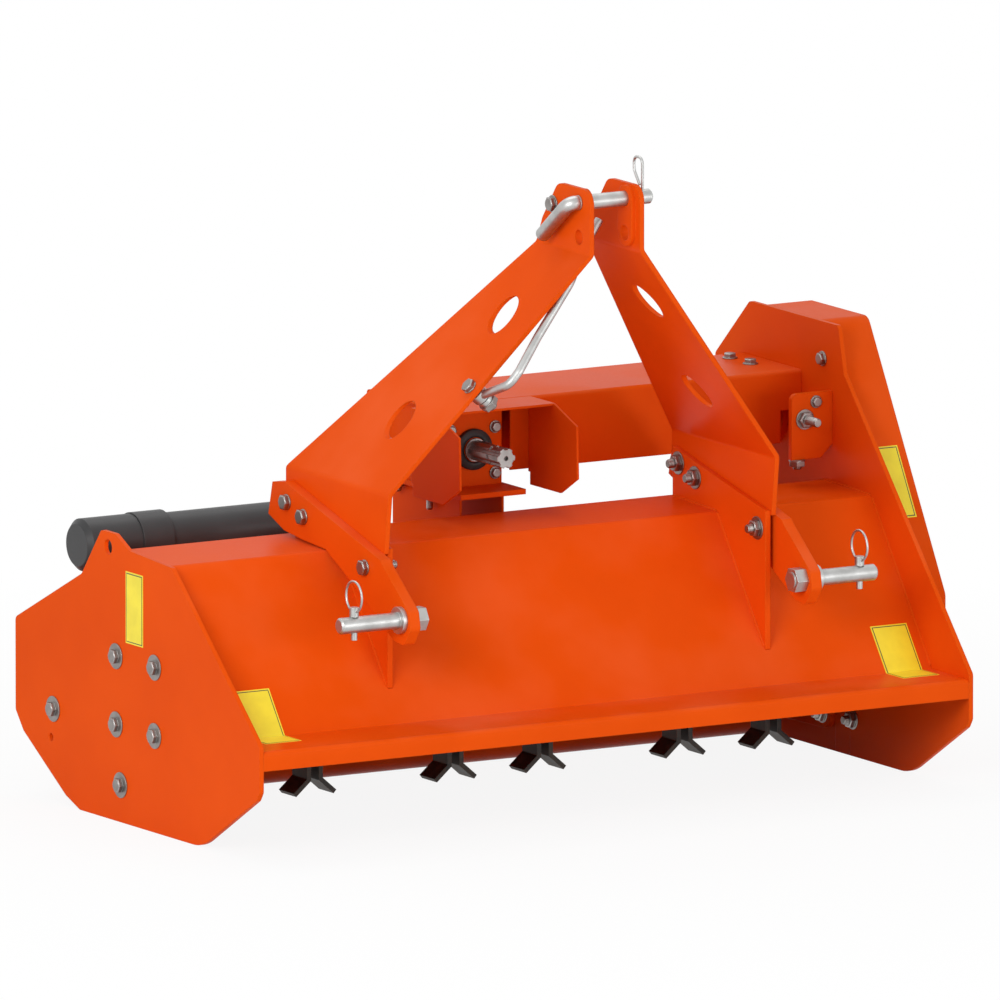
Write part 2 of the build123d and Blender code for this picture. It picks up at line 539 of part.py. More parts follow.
FLAIL_SPOTS = [(x, row.angle) for row in ROWS for x in places(row)]
with BuildPart() as rotor:
    with BuildSketch(across(-ROTOR_HALF, ROTOR_Y, ROTOR_Z)):
        Circle(TUBE_R)
        Circle(TUBE_R - TUBE_WALL, mode=Mode.SUBTRACT)
    extrude(amount=2 * ROTOR_HALF)
    for x0, x1 in ((-HALF + AXLE_GAP, -ROTOR_HALF + DISC_T),
                   (ROTOR_HALF - DISC_T, HALF + PLATE_T + SHAFT_PAST_PLATE)):
        with BuildSketch(across(x0, ROTOR_Y, ROTOR_Z)):
            Circle(SHAFT_R)
        extrude(amount=x1 - x0)
    for x in (-ROTOR_HALF, ROTOR_HALF - DISC_T):
        with BuildSketch(across(x, ROTOR_Y, ROTOR_Z)):
            Circle(TUBE_R)
        extrude(amount=DISC_T)
    lug_low = TUBE_R - LUG_ROOT
    for x, angle in FLAIL_SPOTS:
        with BuildSketch(radial(x, angle)):
            with Locations((0, (lug_low + LUG_TOP) / 2)):
                Rectangle(LUG_T, LUG_TOP - lug_low)
        extrude(amount=LUG_W / 2, both=True)
        with Locations(radial(x, angle).location * Location((0, PIVOT_R, 0), (0, 90, 0))):
            Cylinder(PIVOT_BOLT_R + RUN, LUG_T + 4, mode=Mode.SUBTRACT)
keep("rotor", rotor)

SHANK_TAIL, BOLT_PAST = 20.0, 11.0
with BuildPart() as flails:
    shank = LUG_T / 2 + BLADE_PLAY
    for x, angle in FLAIL_SPOTS:
        with BuildSketch(radial(x, angle)):
            for s in (-1, 1):
                run = [(s * shank, PIVOT_R - SHANK_TAIL), (s * shank, BEND_R),
                       (s * (shank + SPREAD), TIP_R)]
                outline(run + inset(run, s * BLADE_T)[::-1])
        extrude(amount=BLADE_W / 2, both=True)
        with Locations(radial(x, angle).location * Location((0, PIVOT_R, 0), (0, 90, 0))):
            Cylinder(PIVOT_BOLT_R, 2 * (shank + BLADE_T + BOLT_PAST))
keep("flails", flails)

# Rotor bearings on the inner faces of the plates
for side in SIDES:
    with BuildPart() as bearing:
        inner = side.sign * HALF
        with BuildSketch(across(inner, ROTOR_Y, ROTOR_Z)):
            RectangleRounded(BEARING_FLANGE, BEARING_FLANGE, BEARING_FLANGE / 6)
        extrude(amount=-side.sign * BEARING_FLANGE_T)
        with BuildSketch(across(inner, ROTOR_Y, ROTOR_Z)):
            Circle(BEARING_NOSE_R)
        extrude(amount=-side.sign * BEARING_T)
        with BuildSketch(across(inner, ROTOR_Y, ROTOR_Z)):
            Circle(SHAFT_R + RUN)
        extrude(amount=-side.sign * (BEARING_T + 1), mode=Mode.SUBTRACT)
    keep("rotor_bearing_" + side.name, bearing)

# Rear roller on two arms bolted inside the plates
with BuildPart() as roller:
    for half, r in ((ROLLER_HALF, ROLLER_R), (HALF - ARM_T - HUB_GAP, ROLLER_HUB_R),
                    (HALF - AXLE_GAP, AXLE_R)):
        with BuildSketch(across(-half, ROLLER_Y, ROLLER_Z)):
            Circle(r)
        extrude(amount=2 * half)
    with BuildSketch(across(-ROLLER_HALF + ROLLER_DISC_T, ROLLER_Y, ROLLER_Z)):
        Circle(ROLLER_R - ROLLER_WALL)
    extrude(amount=2 * (ROLLER_HALF - ROLLER_DISC_T), mode=Mode.SUBTRACT)
keep("roller", roller)

for side in SIDES:
    with BuildPart() as roller_arm:
        with BuildSketch(across(side.sign * HALF, 0, 0)):
            with Locations(ARM_PIVOT, ARM_BOLT, (ROLLER_Y, ROLLER_Z)):
                Circle(ARM_EDGE)
            make_hull()
            with Locations((ROLLER_Y, ROLLER_Z)):
                Circle(AXLE_R + RUN, mode=Mode.SUBTRACT)
            with Locations(*ARM_HOLES):
                Circle(BOLT_HOLE_R, mode=Mode.SUBTRACT)
        extrude(amount=-side.sign * ARM_T)
    keep("roller_arm_" + side.name, roller_arm)

# Manual tube with its screw cap, on two saddles on the rear slope of the deck
with BuildPart() as manual_tube:
    tube_end = TUBE_START + TUBE_L
    with BuildSketch(across(TUBE_START, TUBE_Y, TUBE_Z)):
        Circle(TUBE_OUT_R)
        Circle(TUBE_OUT_R - TUBE_SKIN, mode=Mode.SUBTRACT)
    extrude(amount=TUBE_L)
    with BuildSketch(across(tube_end - TUBE_SKIN, TUBE_Y, TUBE_Z)):
        Circle(TUBE_OUT_R)
    extrude(amount=TUBE_SKIN)
    with BuildSketch(across(TUBE_START, TUBE_Y, TUBE_Z)):
        Circle(COLLAR_R)
        Circle(TUBE_OUT_R, mode=Mode.SUBTRACT)
    extrude(amount=COLLAR_L)
keep("manual_tube", manual_tube)

with BuildPart() as tube_cap:
    with BuildSketch(across(CAP_LEFT, TUBE_Y, TUBE_Z)):
        Circle(CAP_R)
    extrude(amount=CAP_L)
    chamfer(tube_cap.faces().sort_by(Axis.X)[0].edges(), CAP_BEVEL)
keep("manual_tube_cap", tube_cap)

SADDLE_FRONT, SADDLE_BACK, SADDLE_RISE = 40.0, 34.0, 12.0
SADDLE_FROM_COLLAR, SADDLE_FROM_END = 47.0, 36.0
SaddleSpec = namedtuple("SaddleSpec", "name start")
SADDLES = [SaddleSpec("tube_clamp_left", TUBE_START + COLLAR_L + SADDLE_FROM_COLLAR),
           SaddleSpec("tube_clamp_right", TUBE_START + TUBE_L - SADDLE_FROM_END - SADDLE_W)]
for spec in SADDLES:
    with BuildPart() as clamp:
        front, back = TUBE_Y - SADDLE_FRONT, TUBE_Y + SADDLE_BACK
        with BuildSketch(across(spec.start, 0, 0)):
            outline([(front, deck_z(front)), (back, deck_z(back)), (back, TUBE_Z - SADDLE_RISE),
                     (front, TUBE_Z - SADDLE_RISE)])
            with Locations((TUBE_Y, TUBE_Z)):
                Circle(TUBE_OUT_R, mode=Mode.SUBTRACT)
        extrude(amount=SADDLE_W)
    keep(spec.name, clamp)

# Origin under the middle of the machine's box, on the ground
boxes = [piece.bounding_box() for piece in PIECES.values()]
mid_x = (min(b.min.X for b in boxes) + max(b.max.X for b in boxes)) / 2
mid_y = (min(b.min.Y for b in boxes) + max(b.max.Y for b in boxes)) / 2
low_z = min(b.min.Z for b in boxes)
os.makedirs("parts", exist_ok=True)
for name, piece in PIECES.items():
    piece = piece.moved(Location((-mid_x, -mid_y, -low_z)))
    piece.label = name
    export_step(piece, "parts/" + name + ".step")
print("moved by", -mid_x, -mid_y, -low_z, "pieces", len(PIECES))
print("rest pivot", rest_mid, "axis", IN)
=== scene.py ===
import math

import bmesh
import bpy
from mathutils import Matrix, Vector


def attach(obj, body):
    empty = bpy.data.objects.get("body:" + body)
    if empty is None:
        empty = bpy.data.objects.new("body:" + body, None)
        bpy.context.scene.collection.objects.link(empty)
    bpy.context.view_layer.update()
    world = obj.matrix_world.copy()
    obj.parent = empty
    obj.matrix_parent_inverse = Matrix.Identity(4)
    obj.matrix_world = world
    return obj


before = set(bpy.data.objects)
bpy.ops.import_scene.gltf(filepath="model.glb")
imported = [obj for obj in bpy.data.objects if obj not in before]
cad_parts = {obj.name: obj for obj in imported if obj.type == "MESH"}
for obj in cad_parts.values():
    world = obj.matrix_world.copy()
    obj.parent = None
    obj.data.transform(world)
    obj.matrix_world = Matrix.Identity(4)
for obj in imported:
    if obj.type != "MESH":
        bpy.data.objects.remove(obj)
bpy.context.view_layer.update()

# Hood, linkage, drive housings and roller arms: steel sheet and plate, cut, folded and welded, then
# sprayed in one satin orange. The paint is lighter along the cut edges, where it runs thin, and
# holds a little dust where it faces up.


class Flow:
    """A shader socket that can be used in Python sums; numbers and sockets mix freely."""

    def __init__(self, tree, socket=None):
        self.tree = tree
        self.socket = socket

    def node(self, kind, settings, inputs, out=0):
        """A new node with its settings and inputs filled in; gives one of its outputs."""
        made = self.tree.nodes.new(kind)
        for name, value in settings.items():
            setattr(made, name, value)
        for name, value in inputs.items():
            if isinstance(value, Flow):
                self.tree.links.new(value.socket, made.inputs[name])
            else:
                made.inputs[name].default_value = value
        return Flow(self.tree, made.outputs[out])

    def sum(self, operation, a, b):
        return self.node("ShaderNodeMath", {"operation": operation}, {0: a, 1: b})

    def __add__(self, other):
        return self.sum("ADD", self, other)

    def __radd__(self, other):
        return self.sum("ADD", other, self)

    def __sub__(self, other):
        return self.sum("SUBTRACT", self, other)

    def __rsub__(self, other):
        return self.sum("SUBTRACT", other, self)

    def __mul__(self, other):
        return self.sum("MULTIPLY", self, other)

    def __rmul__(self, other):
        return self.sum("MULTIPLY", other, self)

    def between(self, low, high):
        """0 below low, 1 above high, straight between."""
        return self.node("ShaderNodeMapRange", {}, {"Value": self, "From Min": low, "From Max": high})

    def paint(self, under, over):
        """Colour under where the mask is 0, over where it is 1."""
        return self.node("ShaderNodeMix", {"data_type": "RGBA"}, {0: self, 6: under, 7: over}, out=2)


def start_material(name):
    """A new material, its principled shader and a Flow to draw its pattern with."""
    material = bpy.data.materials.new(name)
    material.use_nodes = True
    return material, material.node_tree.nodes["Principled BSDF"], Flow(material.node_tree)


def feed(shader, name, flow):
    flow.tree.links.new(flow.socket, shader.inputs[name])


def spots(flow, scale, detail=3.0):
    """Soft cloudy spots fixed to the piece; scale is spots per metre."""
    place = flow.node("ShaderNodeTexCoord", {}, {}, out="Object")
    return flow.node("ShaderNodeTexNoise", {}, {"Vector": place, "Scale": scale, "Detail": detail})


def cut_edges(flow, width):
    """1 along sharp edges, 0 on the flats, with the softened normal."""
    soft = flow.node("ShaderNodeBevel", {"samples": 6}, {"Radius": width})
    hard = flow.node("ShaderNodeNewGeometry", {}, {}, out="Normal")
    normals = {0: soft, 1: hard}
    same = flow.node("ShaderNodeVectorMath", {"operation": "DOT_PRODUCT"}, normals, out="Value")
    return (1 - same).between(0.02, 0.25), soft


def faces_up(flow):
    normal = flow.node("ShaderNodeNewGeometry", {}, {}, out="Normal")
    return flow.node("ShaderNodeSeparateXYZ", {}, {0: normal}, out="Z").between(0.2, 1.0)


def press_grain(shader, height, strength, depth, soft):
    """A fine grain in the surface, on top of the softened edges; depth in metres."""
    grain = {"Strength": strength, "Distance": depth, "Height": height, "Normal": soft}
    feed(shader, "Normal", height.node("ShaderNodeBump", {}, grain))


def orange_paint(name, wear=0.45):
    """wear is how far the cut edges lighten."""
    material, shader, flow = start_material(name)
    edge, soft = cut_edges(flow, 0.0025)
    cloud = spots(flow, 5.0)
    speck = spots(flow, 140.0)
    thin = edge * speck.between(0.35, 0.6) * wear
    dust = faces_up(flow) * cloud.between(0.45, 0.75) * 0.07
    colour = cloud.between(0.3, 0.7).paint((0.735, 0.073, 0.0030, 1), (0.80, 0.086, 0.0040, 1))
    colour = thin.paint(colour, (0.90, 0.17, 0.02, 1))
    feed(shader, "Base Color", dust.paint(colour, (0.62, 0.50, 0.38, 1)))
    feed(shader, "Roughness", 0.24 + speck * 0.08 + cloud * 0.08 + dust * 2)
    press_grain(shader, spots(flow, 320.0, 1.0), 0.06, 0.0006, soft)
    shader.inputs["Specular IOR Level"].default_value = 0.02
    return material


def dress(names, material):
    """Puts a material on pieces of the frame."""
    for name in names:
        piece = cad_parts[name]
        piece.data.materials.clear()
        piece.data.materials.append(material)


dress(["deck", "side_plate_left", "side_plate_right", "rotor_slot_strip", "belt_guard",
       "hitch_gusset_left", "hitch_gusset_right", "hitch_lug_left", "hitch_lug_right",
       "headstock_arm_left", "headstock_arm_right", "gearbox_pedestal", "gearbox", "drive_tube",
       "drive_cover", "pto_guard", "tension_bracket", "roller_arm_left", "roller_arm_right"],
      orange_paint("orange_paint_gloss"))

# Rotor and roller: steel tubes with welded ends and lugs, turning on bearings, sprayed with the
# hood. They work among cut grass and on the ground, so their edges are rubbed lighter.
dress(["rotor", "roller"], orange_paint("orange_paint_dull", wear=0.7))

# Flails: pairs of forged Y blades on a bolt through the rotor's lugs, hardened and left as they
# come out of the oil, brown-black with a lighter ground edge.


def forged_steel():
    material, shader, flow = start_material("forged_flail_steel")
    edge, soft = cut_edges(flow, 0.002)
    scale_spots = spots(flow, 60.0, 6.0)
    colour = scale_spots.between(0.35, 0.7).paint((0.018, 0.014, 0.012, 1), (0.06, 0.042, 0.03, 1))
    feed(shader, "Base Color", (edge * 0.6).paint(colour, (0.16, 0.14, 0.12, 1)))
    feed(shader, "Metallic", 0.3 + edge * 0.5)
    feed(shader, "Roughness", 0.42 + scale_spots * 0.3)
    press_grain(shader, scale_spots, 0.25, 0.001, soft)
    return material


dress(["flails"], forged_steel())

# Rotor bearings: flange housings cast in sand and painted dark grey, bolted to the side plates.
# The sand's grain shows in the surface.


def cast_iron():
    material, shader, flow = start_material("cast_housing")
    edge, soft = cut_edges(flow, 0.003)
    grain = spots(flow, 220.0, 4.0)
    colour = spots(flow, 12.0).between(0.3, 0.7).paint((0.10, 0.10, 0.10, 1), (0.16, 0.155, 0.15, 1))
    feed(shader, "Base Color", (edge * 0.4).paint(colour, (0.28, 0.27, 0.26, 1)))
    feed(shader, "Roughness", 0.5 + grain * 0.2)
    press_grain(shader, grain, 0.3, 0.0008, soft)
    return material


dress(["rotor_bearing_left", "rotor_bearing_right"], cast_iron())

# Linkage pins, clips, rest rod and stub: turned or drawn steel. Pins, clips and rod are zinc
# plated, the stub's splines are bare and oiled.


def bright_metal(name, light, dark, dull):
    """Bare or plated steel, cloudy between two colours; dull is the least roughness."""
    material, shader, flow = start_material(name)
    edge, soft = cut_edges(flow, 0.0012)
    cloud = spots(flow, 45.0, 5.0)
    fine = spots(flow, 500.0, 2.0)
    colour = cloud.between(0.3, 0.75).paint(light, dark)
    feed(shader, "Base Color", (edge * 0.5).paint(colour, (0.90, 0.90, 0.88, 1)))
    feed(shader, "Roughness", dull + cloud * 0.14 + fine * 0.06)
    press_grain(shader, fine, 0.12, 0.0003, soft)
    shader.inputs["Metallic"].default_value = 1.0
    return material


zinc = bright_metal("zinc_plating", (0.55, 0.55, 0.54, 1), (0.41, 0.41, 0.40, 1), 0.34)
machined = bright_metal("machined_steel", (0.34, 0.32, 0.31, 1), (0.22, 0.21, 0.20, 1), 0.28)
dress(["lower_pin_left", "lower_pin_right", "linch_pin_left", "linch_pin_right", "top_link_pin",
       "top_link_clip", "rest_stud", "driveshaft_rest"], zinc)
dress(["pto_stub"], machined)

# Handle sleeve: a thick plated steel sleeve over the bent end of the top link pin, slid on up to
# the clevis and rounded at its tip. The pin is drawn by it.
ORIGIN_X, ORIGIN_Y = 44.0, 421.0


def spot(x, y, z):
    """A place in the frame, from millimetres off the hood's middle, its front lip and the ground."""
    return Vector((x - ORIGIN_X, y - ORIGIN_Y, z)) / 1000.0


def make_piece(name, bm, material, body, smooth=False):
    """Turns a drawn mesh into a piece that rides on a body."""
    mesh = bpy.data.meshes.new(name)
    bmesh.ops.recalc_face_normals(bm, faces=bm.faces)
    bm.to_mesh(mesh)
    bm.free()
    for polygon in mesh.polygons:
        polygon.use_smooth = smooth
    mesh.materials.append(material)
    piece = bpy.data.objects.new(name, mesh)
    bpy.context.collection.objects.link(piece)
    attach(piece, body)


def circle(bm, middle, turn, radius, sides):
    """Points round the turned Z axis, in metres."""
    angles = [2 * math.pi * k / sides for k in range(sides)]
    return [bm.verts.new(middle + turn @ Vector((math.cos(a), math.sin(a), 0)) * radius)
            for a in angles]


def skin(bm, loops):
    """Joins a row of equal loops into one closed body, with a flat face over each end."""
    for low, high in zip(loops, loops[1:]):
        for i in range(len(low)):
            j = (i + 1) % len(low)
            bm.faces.new((low[i], low[j], high[j], high[i]))
    bm.faces.new(loops[0][::-1])
    bm.faces.new(loops[-1])


def bent_rod(bm, stations, sides):
    """A closed round bar through stations of (place, radius in metres)."""
    loops = []
    for i, (place, radius) in enumerate(stations):
        before, after = stations[max(i - 1, 0)][0], stations[min(i + 1, len(stations) - 1)][0]
        turn = (after - before).to_track_quat("Z", "Y").to_matrix()
        loops.append(circle(bm, place, turn, radius, sides))
    skin(bm, loops)


HANDLE_BEND, HANDLE_AIM, HANDLE_LENGTH = spot(-52, 76, 1061), Vector((0, 0.8, -0.6)), 0.1115
SLEEVE_RADIUS, BEND_STEPS = 0.0127, 8
ALONG_PIN, ALONG_HANDLE = Vector((0.015, 0, 0)), HANDLE_AIM * 0.018
stations = [(HANDLE_BEND + ALONG_PIN * 1.1, SLEEVE_RADIUS - 0.0003)]
for step in range(BEND_STEPS + 1):
    t = step / BEND_STEPS
    stations.append((HANDLE_BEND + ALONG_PIN * (1 - t) ** 2 + ALONG_HANDLE * t**2, SLEEVE_RADIUS))
for short, thinner in [(0.003, 0.0), (0.0008, 0.0009), (0.0, 0.0025)]:
    stations.append((HANDLE_BEND + HANDLE_AIM * (HANDLE_LENGTH - short), SLEEVE_RADIUS - thinner))
sleeve = bmesh.new()
bent_rod(sleeve, stations, 32)
make_piece("top_pin_handle_sleeve", sleeve, zinc, "frame", smooth=True)

# Manual tube: a blow-moulded black plastic tube with a screw cap, clipped into two moulded saddles
# on the hood. The plastic has a fine grain from the mould.


def moulded_black():
    material, shader, flow = start_material("moulded_black_plastic")
    edge, soft = cut_edges(flow, 0.002)
    grain = spots(flow, 420.0, 2.0)
    cloud = spots(flow, 9.0)
    colour = cloud.between(0.3, 0.7).paint((0.030, 0.030, 0.031, 1), (0.045, 0.045, 0.046, 1))
    feed(shader, "Base Color", (edge * 0.35).paint(colour, (0.11, 0.11, 0.11, 1)))
    feed(shader, "Roughness", 0.34 + grain * 0.12 + cloud * 0.1)
    press_grain(shader, grain, 0.2, 0.0005, soft)
    shader.inputs["Specular IOR Level"].default_value = 0.34
    return material


dress(["manual_tube", "manual_tube_cap", "tube_clamp_left", "tube_clamp_right"], moulded_black())

# Plate bolts: steel hexagon bolts with wide washers, through the side plates into the rotor
# bearings, the roller arms and the strip that closes the rotor slot, with nuts inside.


def turned(bm, place, axis, rings, sides):
    """A closed stack of rings round an axis; rings are (radius, height) in millimetres."""
    turn = Vector(axis).to_track_quat("Z", "Y").to_matrix()
    skin(bm, [circle(bm, place + turn @ Vector((0, 0, height / 1000.0)), turn, radius / 1000.0, sides)
              for radius, height in rings])


def hex_bolt(bm, place, axis, size, thread=0.0, washer=1.1):
    """Washer and hexagon head, or a nut with some thread showing.

    size is the thread's diameter and thread its length, in millimetres; washer is the washer's
    radius in thread diameters.
    """
    rim, corner, top, pitch = size * washer, size * 0.92, size * 0.55, 1.75
    turned(bm, place, axis, [(rim - 0.4, -0.3), (rim, 0.2), (rim, 1.8), (rim - 0.6, 2.3)], 28)
    turned(bm, place, axis, [(corner * 0.94, 2.2), (corner, 2.9), (corner, 1.6 + top),
                             (corner * 0.88, 2.4 + top)], 6)
    turned(bm, place, axis, [(corner * 0.80, 2.2 + top * 0.5), (corner * 0.80, 2.7 + top),
                             (corner * 0.70, 2.9 + top)], 24)
    if thread:
        ridges = []
        for i in range(int(thread / pitch)):
            ridges += [(size / 2 - 0.9, 2 + top + i * pitch), (size / 2, 2.9 + top + i * pitch)]
        turned(bm, place, axis, ridges + [(size / 2 - 1.5, 3.6 + top + thread)], 18)


bolt_steel = bright_metal("dulled_bolt_steel", (0.34, 0.315, 0.30, 1), (0.23, 0.21, 0.20, 1), 0.30)
LEFT_FACE, LEFT_INSIDE, RIGHT_INSIDE, RIGHT_FACE = -700.0, -692.0, 692.0, 700.0
ARM_THICKNESS, WIDE_WASHER = 10, 1.58
BEARING_BOLTS = [(482, 283), (352, 283), (482, 166), (352, 166)]
ARM_BOLTS, STRIP_BOLT, GUARD_BOLT = [(467, 64), (695, 160)], (383, 64), (484, 673)
heads = bmesh.new()
for y, z in BEARING_BOLTS + ARM_BOLTS:
    hex_bolt(heads, spot(LEFT_FACE, y, z), (-1, 0, 0), 14, washer=WIDE_WASHER)
make_piece("left_plate_bolts", heads, bolt_steel, "frame")

heads = bmesh.new()
for y, z in ARM_BOLTS + [STRIP_BOLT]:
    hex_bolt(heads, spot(RIGHT_FACE, y, z), (1, 0, 0), 14, washer=WIDE_WASHER)
make_piece("right_plate_bolts", heads, bolt_steel, "frame")

nuts = bmesh.new()
for y, z in ARM_BOLTS:
    hex_bolt(nuts, spot(RIGHT_INSIDE - ARM_THICKNESS, y, z), (-1, 0, 0), 16, 8)
    hex_bolt(nuts, spot(LEFT_INSIDE + ARM_THICKNESS, y, z), (1, 0, 0), 16, 8)
hex_bolt(nuts, spot(RIGHT_INSIDE, *STRIP_BOLT), (-1, 0, 0), 16, 8)
hex_bolt(nuts, spot(RIGHT_INSIDE, *GUARD_BOLT), (-1, 0, 0), 12)
make_piece("roller_arm_nuts", nuts, bolt_steel, "frame")

# Linkage bolts: three through each stack of lug, arm and gusset, heads outside and nuts inside,
# one across the rear of the clevis, and the bolt that holds the driveshaft rest's stud.
HEADSTOCK_X, LUG_OUTSIDE, GUSSET_INSIDE, CLEVIS_OUTSIDE = 20, 404, 366, 53
STUD_OUT = Vector((-0.768, 0, 0.640))
heads = bmesh.new()
for side in (-1, 1):
    for y, z in [(451, 524), (395, 507), (189, 451)]:
        outside = spot(HEADSTOCK_X + side * LUG_OUTSIDE, y, z)
        inside = spot(HEADSTOCK_X + side * GUSSET_INSIDE, y, z)
        hex_bolt(heads, outside, (side, 0, 0), 15, washer=0.9)
        hex_bolt(heads, inside, (-side, 0, 0), 16, 9, washer=1.25)
    hex_bolt(heads, spot(HEADSTOCK_X + side * CLEVIS_OUTSIDE, 160, 1047), (side, 0, 0), 14)
hex_bolt(heads, spot(-218.03, 121, 754.56), STUD_OUT, 14, washer=0.9)
hex_bolt(heads, spot(-186.9, 121, 728.63), -STUD_OUT, 18, 5, washer=0.9)
make_piece("linkage_bolts", heads, bolt_steel, "frame")

# Drive bolts: the gearbox's front cover screws, its feet bolted down on the pedestal's flange, the
# cover's two bolts on top, and the belt tensioner's long screw with its lock nut on the bracket.
GEARBOX_X, GEARBOX_FRONT, FLANGE_UNDERSIDE = 37, 548, 491
COVER_TOP, BRACKET_FRONT, BRACKET_FOOT = 644, 452, 508
heads = bmesh.new()
for side in (-1, 1):
    for z in (599, 520):
        hex_bolt(heads, spot(GEARBOX_X + side * 44, GEARBOX_FRONT, z), (0, -1, 0), 10)
    for y, thread in [(600, 24), (705, 8)]:
        hex_bolt(heads, spot(GEARBOX_X + side * 54, y, FLANGE_UNDERSIDE), (0, 0, -1), 12, thread)
for y in (646, 714):
    hex_bolt(heads, spot(645, y, COVER_TOP), (0, 0, 1), 12)
hex_bolt(heads, spot(659, BRACKET_FRONT, 606), (0, -1, 0), 10)
hex_bolt(heads, spot(637, BRACKET_FRONT, 577), (0, -1, 0), 16, 32)
hex_bolt(heads, spot(625, 457, BRACKET_FOOT), (0, 0, -1), 16, 4, washer=0.9)
make_piece("drive_bolts", heads, bolt_steel, "frame")

# Guard screws: small steel hexagon screws with washers round the belt guard's outer face. They hold
# the guard over the belts and come out when a belt is changed.
GUARD_FACE = 788
GUARD_SCREWS = [(520, 708), (668, 708), (735, 640), (728, 520), (640, 320), (555, 158), (345, 140),
                (265, 215)]
heads = bmesh.new()
for y, z in GUARD_SCREWS:
    hex_bolt(heads, spot(GUARD_FACE, y, z), (1, 0, 0), 8)
make_piece("guard_screws", heads, bolt_steel, "frame")

# Flail bolt heads and nuts: a steel bolt through each lug of the rotor and its pair of flails, with
# a head on one side and a nut on the other. They turn with the rotor.
ROTOR_Y, ROTOR_Z, BOLT_CIRCLE, ROTOR_END = 417, 224.5, 98, 572
FLAIL_ROWS = [(0, -540), (90, -427), (180, -314), (270, -201)]
LUG_STEP, LUG_BESIDE, HEAD_OUT = 452, 176, 15.6
heads = bmesh.new()
for angle, first in FLAIL_ROWS:
    y = ROTOR_Y + BOLT_CIRCLE * math.sin(math.radians(angle))
    z = ROTOR_Z - BOLT_CIRCLE * math.cos(math.radians(angle))
    for step in range(-4, 5):
        for x in (first + step * LUG_STEP, first + step * LUG_STEP + LUG_BESIDE):
            if abs(x) <= ROTOR_END:
                for side in (-1, 1):
                    hex_bolt(heads, spot(x + side * HEAD_OUT, y, z), (side, 0, 0), 16)
make_piece("flail_bolt_heads", heads, machined, "rotor_body")

# Shaft seal: a moulded rubber lip seal, pressed into the gearbox's front round the stub, so that
# the oil stays in.
STUB_Z = 564
SEAL_PROFILE = [(34.0, 0.2), (35.4, 0.2), (35.4, 7.0), (34.4, 8.6), (30.0, 8.6), (28.5, 9.8),
                (24.0, 9.8), (21.2, 8.3), (21.2, 7.6), (34.0, 7.6)]


def rubber():
    material, shader, flow = start_material("seal_rubber")
    cloud = spots(flow, 60.0)
    colour = cloud.between(0.3, 0.7).paint((0.012, 0.012, 0.012, 1), (0.03, 0.03, 0.03, 1))
    feed(shader, "Base Color", colour)
    feed(shader, "Roughness", 0.5 + cloud * 0.2)
    return material


def ring_round(bm, place, axis, profile, sides):
    """A closed ring round an axis; profile is a closed line of (radius, height) in millimetres."""
    turn = Vector(axis).to_track_quat("Z", "Y").to_matrix()
    loops = []
    for i in range(sides):
        a = 2 * math.pi * i / sides
        points = [Vector((r * math.cos(a), r * math.sin(a), h)) / 1000.0 for r, h in profile]
        loops.append([bm.verts.new(place + turn @ point) for point in points])
    for i in range(sides):
        here, there = loops[i], loops[(i + 1) % sides]
        for j in range(len(profile)):
            k = (j + 1) % len(profile)
            bm.faces.new((here[j], there[j], there[k], here[k]))


seal = bmesh.new()
ring_round(seal, spot(GEARBOX_X, GEARBOX_FRONT, STUB_Z), (0, -1, 0), SEAL_PROFILE, 48)
make_piece("shaft_seal", seal, rubber(), "frame", smooth=True)

# Weld beads: rippled fillet welds that hold the gussets and the pedestal on the deck and the deck
# between the side plates, sprayed over with the orange paint.


def weld(bm, start, end, size, out):
    """A rippled bead along a corner; size in millimetres, out points away from both faces."""
    out = Vector(out).normalized()
    cross = (end - start).normalized().cross(out)
    steps = max(2, int((end - start).length * 1000 / (size * 0.55)))
    angles = [math.radians(-120 + 40 * k) for k in range(7)]
    loops = []
    for i in range(steps + 1):
        swell = size / 1000.0 * (0.92 + 0.12 * math.cos(i * math.pi))
        middle = start.lerp(end, i / steps)
        loops.append([bm.verts.new(middle + (out * math.cos(a) + cross * math.sin(a)) * swell)
                      for a in angles])
    skin(bm, loops)


OFF_FRONT, OFF_TOP, OFF_REAR = (-0.803, 0.597), (0, 1), (0.43, 0.9)
FRONT_END, TOP_START = (320, 457.3), (326, 460.1)
PEDESTAL_HALF, BEAD, PEDESTAL_BEAD = 43.5, 3, 4
GUSSET_FACES = [(-346, 1), (-356, -1), (386, -1), (396, 1)]
beads = bmesh.new()
for x, side in GUSSET_FACES:
    weld(beads, spot(x, 166, 250.2), spot(x, *FRONT_END), BEAD, (side, *OFF_FRONT))
    weld(beads, spot(x, *TOP_START), spot(x, 466, 464.6), BEAD, (side, *OFF_TOP))
for side in (-1, 1):
    x = GEARBOX_X + side * PEDESTAL_HALF
    weld(beads, spot(x, 519, 445.3), spot(x, 740, 339.4), PEDESTAL_BEAD, (side, *OFF_REAR))
for x, side in [(LEFT_INSIDE, 1), (RIGHT_INSIDE, -1)]:
    weld(beads, spot(x, 126, 196.4), spot(x, *FRONT_END), BEAD, (side, *OFF_FRONT))
    weld(beads, spot(x, *TOP_START), spot(x, 474, 464.9), BEAD, (side, *OFF_TOP))
    weld(beads, spot(x, 482, 463.1), spot(x, 816, 302.9), BEAD, (side, *OFF_REAR))
bead_paint = orange_paint("orange_paint_welds", wear=0.0)
make_piece("weld_beads", beads, bead_paint, "frame", smooth=True)

# Blank patches: yellow plastic film with a thin dark border, stuck on the left plate, the belt guard
# and the hood's front, where two of them follow the fold between ledge and slope.


def film(name, colour):
    material, shader, flow = start_material(name)
    darker = tuple(c * 0.88 for c in colour[:3]) + (1,)
    feed(shader, "Base Color", spots(flow, 30.0).between(0.3, 0.7).paint(darker, colour))
    feed(shader, "Roughness", 0.34 + spots(flow, 260.0) * 0.14)
    return material


